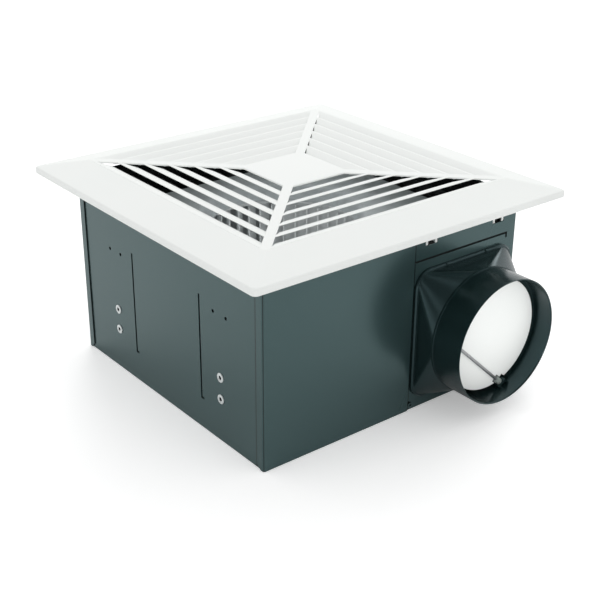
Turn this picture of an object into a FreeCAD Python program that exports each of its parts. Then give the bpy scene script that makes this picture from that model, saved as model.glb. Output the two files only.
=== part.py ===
import FreeCAD, Part
import math
import os

# Duct-type ceiling exhaust fan, in millimetres.
# The origin is the middle of the back plate's outer face. +Z points at the room, +X out of the duct.

# Sheet steel of the box
sheet = 1.0
bend_r = 2.0
return_flange = 8.0
mitre = 4.0
tray_flange = 12.0
tray_relief = 3.0
seam_overlap = 12.0
panel_screw_margin = 2.4
panel_screw_height = 4.5

# Wheel and the scroll round it
wheel_r = 75.0
wheel_height = 90.0
wheel_lift = 21.0
wheel_gap = 3.0
blade_count = 38
blade_depth = 13.0
blade_wall = 1.2
blade_lead = 9.0
blade_tip_gap = 0.5
wheel_wall = 2.5
ring_width = 8.0
scroll_gap = 10.0
scroll_step = 10.0
tongue_r = 7.0
scroll_rear_gap = 4.0
outlet_side_gap = 8.0
wiring_space = 27.0

# Inlet plate
bell_r = 10.0
bell_lip = 2.0
inlet_flange = 8.0
eye_margin = 2.0
plenum = 28.0

# Duct adaptor
duct_r = 50.8
duct_wall = 1.2
collar_length = 29.0
transition_length = 18.0
collar_edge = 0.7
collar_bead = 0.6
collar_bead_width = 1.6
adapter_flange = 3.0
adapter_rim = 2.0
adapter_side_margin = 0.7
adapter_top_margin = 3.7
adapter_corner_r = 15.0
adapter_edge = 1.0
flat_angle = 6.0
opening_inset = 4.5
seam_gap = 1.5
nick_offset = 21.0
nick_width = 1.4
nick_depth = 1.2
groove_rise = 7.5
groove_width = 1.6
groove_depth = 0.8
adapter_screw_r = 1.3
adapter_screw_offset = 30.0

# Backflow flap and its rod
flap_setback = 16.0
flap_wall = 1.5
flap_edge = 0.5
flap_gap = 3.6
flap_ledge = 1.5
pin_r = 1.25
pin_offset = 24.0
pin_tilt = 43.0
pin_seat = 0.4
bush_r = 2.6
bush_length = 7.5
lug_side = 8.0
lug_length = 4.5
lug_wall = 1.2
lug_recess = 2.0
lug_room = 0.6

# Louvred panel
panel_overhang = 25.0
panel_rim = 5.5
panel_rise = 7.5
panel_wall = 2.2
panel_corner_r = 4.0
panel_edge = 0.8
louvre_margin = 8.0
louvre_count = 6
centre_half = 30.6
diagonal_bar = 7.7
louvre_face = 9.7
louvre_angle = 12.0
louvre_lip = 3.2
louvre_lip_angle = 50.0
louvre_wall = 1.5
louvre_edge = 0.5
bar_wall = 1.4
seat_rib = 2.0
seat_rib_offset = 70.0
notch_width = 12.3
notch_depth = 18.6
notch_spacing = 71.4
notch_ledge = 8.0
prong_width = 2.0
prong_clear = 0.4

# Side pattern of slits, holes and rivet nuts
slit_offset = 46.3
slit_width = 1.8
slit_top = 43.0
slit_length = 85.0
slit_hook = 3.2
nut_offset = 72.0
nut_foot = 36.0
nut_pitch = 18.0
nut_flange_r = 3.75
nut_flange = 0.8
nut_body_r = 2.6
nut_body_length = 6.5
nut_bore_r = 1.65
pilot_spacing = 8.0
pilot_r = 1.4
pilot_drop = 50.0

# Motor
motor_r = 34.0
motor_height = 40.0
motor_wall = 1.5
motor_flange = 6.0
plate_side = 100.0
plate_wall = 1.5
plate_corner_r = 12.0
grommet_height = 5.0
grommet_r = 8.0
grommet_bore_r = 3.0
foot_offset = 38.0
foot_screw_r = 2.4
bearing_r = 11.0
bearing_width = 7.0
shaft_r = 4.0
shaft_shoulder = 1.5
shoulder_length = 3.0
shoulder_gap = 1.0
core_height = 16.0
core_width = 12.9
air_gap = 0.5
slot_count = 12
winding_height = 5.5
winding_width = 8.0
winding_edge = 2.0
motor_screw_r = 1.4
cup_gap = 5.0
cup_draft = 3.0
boss_r = 11.0
boss_height = 14.0
nut_across = 13.0
nut_height = 5.0

# Wiring
terminal_x = 40.0
terminal_y = 36.0
terminal_z = 30.0
terminal_wall = 1.8
cover_wall = 2.0
post_r = 2.7
block_x = 24.0
block_y = 12.0
block_z = 12.0
block_pitch = 8.0
block_hole_r = 2.0
block_gap = 2.0
cable_r = 5.0
grommet_wall = 2.5
grommet_lip = 2.0
lead_r = 3.0
lead_height = 11.0
lead_bend_r = 12.0
capacitor_x = 16.0
capacitor_y = 38.0
capacitor_z = 28.0
capacitor_wall_gap = 6.0
capacitor_ear = 9.0
capacitor_ear_wall = 1.5
capacitor_corner_r = 1.5

# Fits
fit = 0.05
seat_gap = 0.3
screw_head_r = 2.2
foot_head_r = 4.2
screw_head_height = 1.6
screw_head_edge = 0.5

V = FreeCAD.Vector
X = V(1, 0, 0)
Y = V(0, 1, 0)
Z = V(0, 0, 1)

# The scroll is four quarter arcs whose radii grow by one step each, so its reach sets the box
arc_r = wheel_r + scroll_gap + scroll_step / 2
reach_left = arc_r + scroll_step / 2
reach_rear = arc_r + 1.5 * scroll_step
reach_right = arc_r + 2.5 * scroll_step
half = (outlet_side_gap + reach_right + reach_left + sheet + wiring_space) / 2 + 2 * sheet
wall_x = half - sheet
wall_y = half - 2 * sheet
inner_bend = bend_r - sheet
outlet_x = half - 2 * sheet
wheel_bottom = sheet + wheel_lift
wheel_top = wheel_bottom + wheel_height
bell_end = wheel_top + wheel_gap
inlet_top = bell_end + bell_lip + bell_r
inlet_bottom = inlet_top - sheet
box_height = inlet_top + plenum
blade_inner = wheel_r - blade_depth
eye_r = blade_inner - eye_margin

# Duct
flange_w = duct_r + adapter_side_margin
flange_h = duct_r + adapter_top_margin
open_w = flange_w - opening_inset
open_h = flange_h - opening_inset
duct_y = wall_y - outlet_side_gap - open_w
duct_z = (sheet + inlet_bottom) / 2
face_x = half - sheet
collar_x = face_x + adapter_flange + transition_length
rim_x = collar_x + collar_length
bore_r = duct_r - duct_wall
seam_y = duct_y - flange_w - seam_gap
scroll_top = duct_y + open_w
scroll_low = duct_y - open_w
wheel_x = -wall_x + scroll_rear_gap + sheet + reach_rear
wheel_y = scroll_top - reach_right

# Flap: the rod lies on the disc as a chord, tilted, on the side that is uppermost in a ceiling
flap_r = bore_r - flap_gap
flap_face = rim_x - flap_setback
pin_x = flap_face + pin_r - pin_seat
pin_along = V(0, math.cos(math.radians(pin_tilt)), -math.sin(math.radians(pin_tilt)))
pin_across = V(0, math.sin(math.radians(pin_tilt)), math.cos(math.radians(pin_tilt)))
duct_axis = V(0, duct_y, duct_z)
pin_middle = duct_axis + X * pin_x - pin_across * pin_offset
pin_reach = math.sqrt(bore_r ** 2 - pin_offset ** 2)
bush_end = math.sqrt(bore_r ** 2 - (pin_offset + bush_r) ** 2) - seat_gap

# Panel
panel_half = half + panel_overhang
panel_foot = box_height
panel_shoulder = panel_foot + panel_rim
panel_top = panel_shoulder + panel_rise
louvre_half = half - louvre_margin
louvre_pitch = (louvre_half - centre_half) / louvre_count
notch_foot = box_height - notch_depth
notch_y = (duct_y - notch_spacing / 2, duct_y + notch_spacing / 2)

# Motor stack
motor_flange_r = motor_r + motor_flange
core_bore_r = motor_r - motor_wall - core_width
plate_z = sheet + grommet_height
motor_foot = plate_z + plate_wall
motor_split = motor_foot + motor_height / 2
motor_top = motor_foot + motor_height
core_low = motor_split - core_height / 2
core_high = motor_split + core_height / 2
hub_foot = motor_top + shoulder_gap + shoulder_length
hub_top = hub_foot + boss_height
shaft_top = hub_top + nut_height + 2 * shaft_r / 4
bearing_low = motor_foot + motor_wall
bearing_high = motor_top - motor_wall - bearing_width
cup_inner = motor_flange_r + cup_gap

# Wiring
tray_x = wall_x - sheet
tray_y = wall_y - sheet
terminal_x0 = -tray_x + seat_gap
terminal_y0 = -tray_y + seat_gap
terminal_x1 = terminal_x0 + terminal_x
terminal_y1 = terminal_y0 + terminal_y
terminal_top = sheet + terminal_z
cable_y = (terminal_y0 + terminal_y1) / 2
cable_z = sheet + tray_flange + cable_r + grommet_wall + 1.5
lead_z = sheet + lead_height
lead_y = wheel_y - reach_left - sheet - wiring_space / 2
lead_x = wheel_x - scroll_step / 2
lead_hole_r = lead_r + grommet_wall
lead_cross_y = wheel_y - reach_left - sheet


def block(x0, x1, y0, y1, z0, z1):
    return Part.makeBox(x1 - x0, y1 - y0, z1 - z0, V(x0, y0, z0))


def rod(radius, start, axis, length):
    return Part.makeCylinder(radius, length, start, axis)


def tube(outer, inner, start, axis, length):
    return rod(outer, start, axis, length).cut(rod(inner, start, axis, length))


def fused(shapes):
    return shapes[0].fuse(shapes[1:]).removeSplitter()


def upright(points, low, high):
    corners = [V(x, y, low) for x, y in points]
    return Part.Face(Part.makePolygon(corners + corners[:1])).extrude(Z * (high - low))


def turned(points, axis_x, axis_y):
    """Solid of revolution about a vertical axis from a closed outline of (radius, height) points."""
    corners = [V(axis_x + r, axis_y, z) for r, z in points]
    outline = Part.Face(Part.makePolygon(corners + corners[:1]))
    return outline.revolve(V(axis_x, axis_y, 0), Z, 360)


def bent(shape, bends):
    """Rounds the upright edges that stand at the given plan points."""
    for x, y, radius in bends:
        edges = [e for e in shape.Edges
                 if all(abs(v.X - x) < 0.01 and abs(v.Y - y) < 0.01 for v in e.Vertexes)]
        shape = shape.makeFillet(radius, edges)
    return shape


def polar(x, y, radius, angle, z):
    t = math.radians(angle)
    return V(x + radius * math.cos(t), y + radius * math.sin(t), z)


def arc(place, first, last):
    """Arc between two angles; place(angle) gives a point of it."""
    return Part.Arc(place(first), place((first + last) / 2), place(last)).toShape()


def line(start, end):
    return Part.LineSegment(start, end).toShape()


def rounded_rect(half_w, half_h, radius, at):
    """Outline of corner arcs and sides in turn; at(a, b) places a point of it in space."""
    a, b = half_w - radius, half_h - radius
    corners = ((a, b), (-a, b), (-a, -b), (a, -b))

    def point(k, angle):
        p = polar(*corners[k % 4], radius, angle, 0)
        return at(p.x, p.y)

    edges = []
    for k in range(4):
        edges.append(arc(lambda angle: point(k, angle), 90 * k, 90 * k + 90))
        edges.append(line(point(k, 90 * k + 90), point(k + 1, 90 * k + 90)))
    return Part.Wire(edges)


def split_circle(radius, at):
    """Circle cut into the same eight stretches as a rounded rectangle: long corner arcs, short flats."""
    def point(angle):
        p = polar(0, 0, radius, angle, 0)
        return at(p.x, p.y)

    edges = []
    for k in range(4):
        edges.append(arc(point, 90 * k + flat_angle, 90 * k + 90 - flat_angle))
        edges.append(arc(point, 90 * k + 90 - flat_angle, 90 * k + 90 + flat_angle))
    return Part.Wire(edges)


def duct_plane(x):
    return lambda a, b: V(x, duct_y + a, duct_z + b)


def screw(radius, head_r, start, axis, length):
    """Plain screw with a pan head; start is under the head and the shank runs along the axis."""
    head = rod(head_r, start, -axis, screw_head_height)
    top = [e for e in head.Edges if e.Closed and (start - e.CenterOfMass).dot(axis) > screw_head_height / 2]
    head = head.makeChamfer(screw_head_edge, top)
    return fused([head, rod(radius, start, axis, length)])


def foot_places():
    return [V(wheel_x + sx * foot_offset, wheel_y + sy * foot_offset, 0)
            for sx in (-1, 1) for sy in (-1, 1)]


def back_plate():
    """Folded tray that closes the back of the box, with its flange cut away at the outlet."""
    tray = block(-wall_x, outlet_x, -wall_y, wall_y, 0, tray_flange)
    low = [e for e in tray.Edges if all(v.Z < 0.01 for v in e.Vertexes)]
    tray = tray.makeFillet(bend_r, low)
    tray = tray.cut(block(-tray_x, outlet_x - sheet, -tray_y, tray_y, sheet, tray_flange))
    for x in (-wall_x, outlet_x):
        for y in (-wall_y, wall_y):
            tray = tray.cut(block(x - tray_relief, x + tray_relief, y - tray_relief, y + tray_relief,
                                  bend_r, tray_flange))
    tray = tray.cut(block(outlet_x - sheet, outlet_x, scroll_low - sheet - fit,
                          scroll_top + sheet + fit, sheet, tray_flange))
    for place in foot_places():
        tray = tray.cut(rod(foot_screw_r + fit, place, Z, sheet))
    for place in panel_screw_places():
        tray = tray.cut(rod(adapter_screw_r + fit, place - X * 2 * sheet, X, 2 * sheet))
    return tray.cut(rod(adapter_screw_r + fit, capacitor_middle() + capacitor_eye() - Z * sheet, Z, sheet))


def outlet_wall():
    """Front part of the duct side. It wraps round the near corner with a mitred return flange."""
    plan = [(half, -half), (half, seam_y), (wall_x, seam_y), (wall_x, -half + sheet),
            (half - return_flange, -half + sheet), (half - return_flange, -half)]
    wall = upright(plan, 0, box_height)
    wall = bent(wall, [(half, -half, bend_r), (wall_x, -half + sheet, inner_bend)])
    return wall.cut(mitre_wedge(half - return_flange, -half, 1))


def mitre_wedge(x, y, sign):
    """Corner cut off the foot of a return flange, on the edge away from the bend."""
    points = [V(x, y - sheet, 0), V(x + sign * mitre, y - sheet, 0), V(x, y - sheet, mitre)]
    return Part.Face(Part.makePolygon(points + points[:1])).extrude(Y * 3 * sheet)


def notched(wall, outer_x, inward):
    """Wall with its snap notches cut, and the metal of each folded inwards as a ledge at its foot."""
    inner_x = outer_x + inward * sheet
    ledge_x = outer_x + inward * notch_ledge
    for y in notch_y:
        low, high = y - notch_width / 2, y + notch_width / 2
        wall = wall.cut(block(*sorted((outer_x, inner_x)), low, high, notch_foot, box_height))
        wall = fused([wall, block(*sorted((outer_x, ledge_x)), low, high, notch_foot - sheet, notch_foot)])
    return wall


def outlet_panel():
    """Recessed sheet behind the seam: outlet opening, snap notches, pressed groove, return flange."""
    plan = [(face_x, seam_y - seam_overlap), (face_x, half), (face_x - return_flange, half),
            (face_x - return_flange, wall_x), (outlet_x, wall_x), (outlet_x, seam_y - seam_overlap)]
    panel = upright(plan, 0, box_height)
    panel = bent(panel, [(face_x, half, bend_r), (outlet_x, wall_x, inner_bend)])
    mouth_r = adapter_corner_r - opening_inset
    mouth = Part.Face(rounded_rect(open_w, open_h, mouth_r, duct_plane(outlet_x)))
    panel = panel.cut(mouth.extrude(X * sheet))
    panel = notched(panel, face_x, -1)
    for place in adapter_screw_places() + panel_screw_places():
        panel = panel.cut(rod(adapter_screw_r + fit, place - X * sheet, X, sheet))
    groove_z = duct_z + flange_h + groove_rise
    groove_end = duct_y + open_w
    panel = panel.cut(block(face_x - groove_depth, face_x, seam_y, groove_end,
                            groove_z - groove_width / 2, groove_z + groove_width / 2))
    hook = block(face_x - groove_depth, face_x, groove_end - groove_width, groove_end,
                 groove_z - 2.5 * groove_width, groove_z)
    return panel.cut(hook)


def rear_wall():
    """Side opposite the duct, with return flanges at both ends, snap notches and the cable hole."""
    plan = [(-half, -half), (-half + return_flange, -half), (-half + return_flange, -half + sheet),
            (-wall_x, -half + sheet), (-wall_x, half - sheet), (-half + return_flange, half - sheet),
            (-half + return_flange, half), (-half, half)]
    wall = upright(plan, 0, box_height)
    wall = bent(wall, [(-half, -half, bend_r), (-half, half, bend_r),
                       (-wall_x, -wall_x, inner_bend), (-wall_x, wall_x, inner_bend)])
    for y in (-half, half - sheet):
        wall = wall.cut(mitre_wedge(-half + return_flange, y, -1))
    wall = notched(wall, -half, 1)
    return wall.cut(rod(cable_r + grommet_wall, V(-half, cable_y, cable_z), X, sheet))


def slit(offset, y):
    """Narrow upright slit with a hook at its foot."""
    top = box_height - slit_top
    foot = top - slit_length
    run = block(offset - slit_width / 2, offset + slit_width / 2, y, y + sheet, foot, top)
    hook = block(offset - slit_width / 2, offset + slit_hook, y, y + sheet, foot - slit_width, foot)
    return run.fuse(hook)


def nut_places(y):
    return [V(sx * nut_offset, y, nut_foot + k * nut_pitch) for sx in (-1, 1) for k in (0, 1)]


def side_wall(y, end_x):
    """Side sheet seated behind the return flanges, with the pattern for a hanging bracket."""
    wall = block(-wall_x + inner_bend, end_x - inner_bend, y, y + sheet, 0, box_height)
    for sx in (-1, 1):
        wall = wall.cut(slit(sx * slit_offset, y))
        for shift in (-pilot_spacing, pilot_spacing):
            place = V(sx * nut_offset + shift, y, box_height - pilot_drop)
            wall = wall.cut(rod(pilot_r, place, Y, sheet))
    for place in nut_places(y):
        wall = wall.cut(rod(nut_body_r + fit, place, Y, sheet))
    return wall


def rivet_nuts(outside, inward):
    """Flanged threaded inserts clinched into a side wall."""
    nuts = []
    for place in nut_places(outside):
        flange = rod(nut_flange_r, place, -inward, nut_flange)
        body = rod(nut_body_r, place, inward, nut_body_length)
        bore = rod(nut_bore_r, place - inward * nut_flange, inward, nut_flange + nut_body_length)
        nuts.append(fused([flange, body]).cut(bore))
    return Part.makeCompound(nuts)


def inlet_plate():
    """Plate across the box with a bell-mouth inlet over the wheel and a flange along the two sides."""
    plate = block(-wall_x, outlet_x, -wall_y, wall_y, inlet_bottom, inlet_top)
    for y in (-wall_y, wall_y - sheet):
        plate = plate.fuse(block(-wall_x, outlet_x, y, y + sheet, inlet_bottom,
                                 inlet_top + inlet_flange))
    mouth = V(wheel_x, wheel_y, inlet_bottom)
    plate = plate.cut(rod(eye_r + bell_r, mouth, Z, sheet))

    def at(radius, height):
        return V(wheel_x + radius, wheel_y, height)

    def quarter(radius):
        def point(angle):
            p = polar(eye_r + bell_r, inlet_top - bell_r, radius, angle, 0)
            return at(p.x, p.y)
        return arc(point, 90, 180)

    throat = inlet_top - bell_r
    lip = [at(eye_r, throat), at(eye_r, bell_end), at(eye_r + sheet, bell_end), at(eye_r + sheet, throat)]
    rim = line(at(eye_r + bell_r, inlet_bottom), at(eye_r + bell_r, inlet_top))
    edges = [quarter(bell_r), quarter(bell_r - sheet), rim] + Part.makePolygon(lip).Edges
    outline = Part.Face(Part.Wire(Part.__sortEdges__(edges)))
    return fused([plate, outline.revolve(V(wheel_x, wheel_y, 0), Z, 360)])


def scroll_edges(grow):
    """Plan of the scroll's air side, grown outwards: outlet side, four arcs, tongue, outlet side."""
    a = wheel_x + scroll_step / 2
    b = wheel_y - scroll_step / 2
    tongue = V(0, scroll_low - tongue_r, 0)
    first_r = arc_r - scroll_step
    tongue.x = a + math.sqrt((first_r + tongue_r) ** 2 - (tongue.y - b) ** 2)
    lean = math.degrees(math.atan2(tongue.y - b, tongue.x - a))

    def bend(x, y, radius, first, last):
        return arc(lambda angle: polar(x, y, radius, angle, sheet), first, last)

    far = arc_r + 2 * scroll_step + grow
    top, low = scroll_top + grow, scroll_low - grow
    return [
        line(V(outlet_x, top, sheet), V(a, top, sheet)),
        bend(a, b + scroll_step, far, 90, 180),
        bend(a - scroll_step, b + scroll_step, far - scroll_step, 180, 270),
        bend(a - scroll_step, b, far - 2 * scroll_step, 270, 360),
        bend(a, b, first_r + grow, 0, lean),
        bend(tongue.x, tongue.y, tongue_r - grow, 180 + lean, 90),
        line(V(tongue.x, low, sheet), V(outlet_x, low, sheet)),
    ]


def scroll_wall():
    """Volute strip that stands on the back plate under the inlet plate and ends at the outlet panel."""
    ends = [line(V(outlet_x, y, sheet), V(outlet_x, y + sheet, sheet))
            for y in (scroll_top, scroll_low - sheet)]
    outline = Part.Wire(Part.__sortEdges__(scroll_edges(0) + scroll_edges(sheet) + ends))
    strip = Part.Face(outline).extrude(Z * (inlet_bottom - sheet))
    return strip.cut(rod(lead_hole_r, V(lead_x, lead_y, lead_z), Y, wiring_space))


def adapter_screw_places():
    return [V(face_x, duct_y + sy * adapter_screw_offset, duct_z + sz * (flange_h - adapter_rim))
            for sy in (-1, 1) for sz in (-1, 1)]


def adapter_screws():
    """Screws driven from inside the box into the adaptor's flange."""
    return Part.makeCompound([screw(adapter_screw_r, screw_head_r, place - X * sheet, X, adapter_flange)
                              for place in adapter_screw_places()])


def panel_screw_places():
    reach = sheet + panel_screw_margin
    return [V(face_x, y, panel_screw_height) for y in (scroll_low - reach, scroll_top + reach)]


def panel_screws():
    """Screws at the foot of the outlet panel, into the tray's flange."""
    return Part.makeCompound([screw(adapter_screw_r, screw_head_r, place, -X, 3 * sheet)
                              for place in panel_screw_places()])


def outlet_adapter():
    """Moulded rectangle-to-round adaptor: rimmed flange, flats and cones, collar and rod lugs."""
    base_x = face_x + adapter_flange
    rim_face = Part.Face(rounded_rect(flange_w, flange_h, adapter_corner_r, duct_plane(face_x)))
    rim = rim_face.extrude(X * adapter_flange)
    front = [e for e in rim.Edges if all(abs(v.X - base_x) < 0.01 for v in e.Vertexes)]
    rim = rim.makeChamfer(adapter_edge, front)

    def wide(inset, x):
        shrink = adapter_rim + inset
        return rounded_rect(flange_w - shrink, flange_h - shrink, adapter_corner_r - shrink, duct_plane(x))

    def funnel(inset):
        return Part.makeLoft([wide(inset, base_x), split_circle(duct_r - inset, duct_plane(collar_x))],
                             True, True)

    start = duct_axis + X * collar_x
    bead = rod(duct_r + collar_bead, start, X, collar_bead_width)
    shell = fused([rim, funnel(0), rod(duct_r, start, X, collar_length), bead])
    shell = shell.cut(funnel(duct_wall))
    shell = shell.cut(Part.Face(wide(duct_wall, face_x)).extrude(X * adapter_flange))
    shell = shell.cut(rod(bore_r, start, X, collar_length))
    shell = shell.cut(Part.makeCone(bore_r, bore_r + collar_edge, collar_edge,
                                    duct_axis + X * (rim_x - collar_edge), X))
    for sy in (-1, 1):
        y = duct_y + sy * nick_offset
        shell = shell.cut(block(base_x - nick_depth, base_x, y - nick_width / 2, y + nick_width / 2,
                                duct_z + flange_h - adapter_rim, duct_z + flange_h))
    for place in adapter_screw_places():
        shell = shell.cut(rod(adapter_screw_r + fit, place, X, adapter_flange - sheet / 2))
    return fused([shell] + rod_lugs() + [flap_stop()])


def along_pin(start, length, width, height):
    """Bar of rectangular section along the rod's line, measured from the chord's middle."""
    corner = pin_middle + pin_along * start - pin_across * (width / 2) - X * (height / 2)
    wide, high = pin_across * width, X * height
    points = [corner, corner + wide, corner + wide + high, corner + high, corner]
    return Part.Face(Part.makePolygon(points)).extrude(pin_along * length)


def rod_lugs():
    """Two lugs on the collar's wall that take the rod's bushes, each recessed in its front."""
    inside = rod(bore_r + duct_wall / 2, duct_axis + X * collar_x, X, collar_length)
    lugs = []
    for sign in (-1, 1):
        lug = along_pin(sign * (pin_reach - lug_length), sign * 2 * lug_length, lug_side, lug_side)
        lug = lug.common(inside)
        socket = rod(bush_r + fit, pin_middle + pin_along * (sign * (pin_reach - 2 * lug_length)),
                     pin_along * sign, bush_length + lug_length)
        pocket = along_pin(sign * (pin_reach - lug_length + lug_wall), sign * 2 * lug_length,
                           lug_side - 2 * lug_wall, lug_side)
        pocket.translate(X * (lug_side - lug_recess))
        lugs.append(lug.cut(socket).cut(pocket.common(rod(bore_r, duct_axis, X, rim_x))))
    return lugs


def flap_stop():
    """Ledge in the collar behind the flap's larger part."""
    low = flap_face - flap_wall - seat_gap - flap_ledge
    ring = tube(bore_r + duct_wall / 2, flap_r - 2 * flap_ledge, duct_axis + X * low, X, flap_ledge)
    corner = pin_middle + pin_across * lug_side - pin_along * duct_r
    corner.x = low
    wide, high = pin_along * 2 * duct_r, pin_across * 2 * duct_r
    points = [corner, corner + wide, corner + wide + high, corner + high, corner]
    return ring.common(Part.Face(Part.makePolygon(points)).extrude(X * flap_ledge))


def damper_flap():
    """Disc of the backflow damper, grooved for its rod and cut back at the rod's lugs."""
    disc = rod(flap_r, duct_axis + X * (flap_face - flap_wall), X, flap_wall)
    edges = [e for e in disc.Edges if e.Closed and e.CenterOfMass.x > flap_face - flap_wall / 2]
    disc = disc.makeChamfer(flap_edge, edges)
    disc = disc.cut(rod(pin_r + fit, pin_middle - pin_along * duct_r, pin_along, 2 * duct_r))
    lug_sweep = math.sqrt(2) * lug_side
    for start, span in ((bush_end - bush_length, 2 * bush_r), (pin_reach - lug_length, lug_sweep)):
        room = span + 2 * lug_room
        for sign in (-1, 1):
            disc = disc.cut(along_pin(sign * (start - lug_room), sign * duct_r, room, room))
    return disc


def damper_pin():
    return rod(pin_r, pin_middle - pin_along * bush_end, pin_along, 2 * bush_end)


def damper_bushes():
    bushes = []
    for sign in (-1, 1):
        start = pin_middle + pin_along * (sign * (bush_end - bush_length))
        bushes.append(tube(bush_r, pin_r + fit, start, pin_along * sign, bush_length))
    return Part.makeCompound(bushes)


def panel_level(z):
    return lambda a, b: V(a, b, z)


def panel_shell():
    """Rim, sloped border and flat top as one thin shell with rounded corners."""
    def hull(inset, foot):
        side = panel_half - inset
        corner = max(panel_corner_r - inset, panel_corner_r / 4)
        eased = side - panel_edge
        sections = ((side, corner, foot), (side, corner, panel_shoulder - inset - panel_edge),
                    (eased, corner, panel_shoulder - inset),
                    (louvre_half, panel_corner_r / 4, panel_top - inset))
        wires = [rounded_rect(s, s, r, panel_level(z)) for s, r, z in sections]
        return Part.makeLoft(wires, True, True)

    outside = hull(0, panel_foot)
    inside = hull(panel_wall, panel_foot - panel_wall)
    flat = block(-louvre_half, louvre_half, -louvre_half, louvre_half, panel_foot, panel_top - bar_wall)
    return outside.cut(inside).cut(flat)


def quadrant(low, high, grow):
    """Trapezium between two diagonal bars, from the centre square to the border, towards -Y."""
    bar = diagonal_bar / math.sqrt(2) - grow
    near, far = centre_half - grow, louvre_half + grow
    plan = [(-(near - bar), -near), (-(far - bar), -far), (far - bar, -far), (near - bar, -near)]
    return upright(plan, low, high)


def louvre(crest):
    """One blade: a face that falls gently towards the centre, then a steep lip."""
    fall = math.radians(louvre_angle)
    steep = math.radians(louvre_lip_angle)
    knee = V(0, -crest + louvre_face, panel_top - louvre_face * math.tan(fall))
    tip = knee + V(0, louvre_lip * math.cos(steep), -louvre_lip * math.sin(steep))
    under = V(0, -louvre_wall * math.sin(steep), -louvre_wall * math.cos(steep))
    back = V(0, -crest, panel_top - louvre_edge)
    inner_knee = V(0, knee.y - louvre_wall * math.tan((steep - fall) / 2), knee.z - louvre_wall)
    points = [V(0, -crest, panel_top), knee, tip, tip + under, inner_knee, back]
    reach = X * louvre_half
    return Part.Face(Part.makePolygon([p - reach for p in points + points[:1]])).extrude(reach * 2)


def grille_panel():
    """Louvred panel with seat ribs that stand on the walls and prongs in the snap notches."""
    shell = panel_shell()
    blades = []
    for turn in range(4):
        window = quadrant(panel_foot, panel_top, 0)
        window.rotate(V(0, 0, 0), Z, 90 * turn)
        shell = shell.cut(window)
    trim = quadrant(panel_foot, panel_top, bar_wall / 2)
    for k in range(louvre_count):
        blade = louvre(louvre_half - k * louvre_pitch).common(trim)
        for turn in range(4):
            copy = blade.copy()
            copy.rotate(V(0, 0, 0), Z, 90 * turn)
            blades.append(copy)
    return fused([shell] + blades + seat_ribs() + snap_prongs())


def seat_ribs():
    """Ribs under the border whose lower edges stand on the box's walls."""
    inner = louvre_half + panel_wall
    outer = panel_half - panel_wall / 2
    slope = panel_rise / (panel_half - louvre_half)
    outer_top = panel_shoulder - panel_wall / 2
    inner_top = panel_top - (inner - louvre_half) * slope - panel_wall / 2
    foot = box_height + seat_gap
    points = [V(inner, 0, foot), V(outer, 0, foot), V(outer, 0, outer_top), V(inner, 0, inner_top)]
    profile = Part.Face(Part.makePolygon(points + points[:1]))
    ribs = []
    for turn in range(4):
        for sign in (-1, 1):
            rib = profile.extrude(Y * seat_rib)
            rib.translate(Y * (sign * seat_rib_offset - seat_rib / 2))
            rib.rotate(V(0, 0, 0), Z, 90 * turn)
            ribs.append(rib)
    return ribs


def snap_prongs():
    """Pairs of prongs in the open notches of the outlet panel and of the rear wall."""
    slope = panel_rise / (panel_half - louvre_half)
    prongs = []
    for sign, face in ((1, face_x), (-1, half)):
        top = panel_top - (face - louvre_half) * slope - panel_wall / 2
        for y in notch_y:
            for side in (-1, 1):
                edge = y + side * (notch_width / 2 - prong_clear)
                low, high = sorted((edge, edge - side * prong_width))
                inner, outer = sorted((sign * (face - sheet), sign * face))
                prongs.append(block(inner, outer, low, high, notch_foot + prong_clear, top))
    return prongs


def wheel_plate():
    """Back plate of the forward-curved wheel, with a cup that reaches over the motor and a hub boss."""
    base = wheel_bottom + wheel_wall
    lid = hub_foot + wheel_wall
    top_r = cup_inner - cup_draft
    section = [
        (shaft_r + fit, hub_foot), (top_r - wheel_wall, hub_foot), (cup_inner, wheel_bottom),
        (wheel_r, wheel_bottom), (wheel_r, base), (cup_inner + wheel_wall, base),
        (top_r + wheel_wall / 2, lid - wheel_wall / 2), (top_r - wheel_wall, lid),
        (boss_r, lid), (boss_r, hub_top), (shaft_r + fit, hub_top),
    ]
    return turned(section, wheel_x, wheel_y)


def wheel_ring():
    """Flat ring that ties the blades' front ends."""
    start = V(wheel_x, wheel_y, wheel_top - wheel_wall)
    return tube(wheel_r, wheel_r - ring_width, start, Z, wheel_wall)


def wheel_blades():
    """Blades between the back plate and the ring, for a wheel that turns clockwise."""
    blades = []
    for k in range(blade_count):
        blade = wheel_blade(wheel_bottom + wheel_wall, wheel_top - wheel_wall)
        blade.rotate(V(wheel_x, wheel_y, 0), Z, 360 * k / blade_count)
        blades.append(blade)
    return Part.makeCompound(blades)


def wheel_blade(low, high):
    """One blade of even wall: radial at the eye, its tip leading the turn."""
    tip_r = wheel_r - blade_tip_gap
    stations = ((blade_inner, 0), ((blade_inner + tip_r) / 2, blade_lead / 4), (tip_r, blade_lead))

    def face(side):
        points = []
        for radius, lead in stations:
            shift = math.degrees(side * blade_wall / 2 / radius)
            points.append(polar(wheel_x, wheel_y, radius, shift - lead, low))
        return points

    left, right = face(1), face(-1)
    outline = [Part.Arc(*left).toShape(), line(left[2], right[2]),
               Part.Arc(*reversed(right)).toShape(), line(right[0], left[0])]
    return Part.Face(Part.Wire(outline)).extrude(Z * (high - low))


def hub_nut():
    """Hexagon nut on the shaft's end."""
    corner = nut_across / math.sqrt(3)
    points = [polar(wheel_x, wheel_y, corner, 60 * k, 0) for k in range(6)]
    nut = upright([(p.x, p.y) for p in points], hub_top, hub_top + nut_height)
    return nut.cut(rod(shaft_r + fit, V(wheel_x, wheel_y, hub_top), Z, nut_height))


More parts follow.
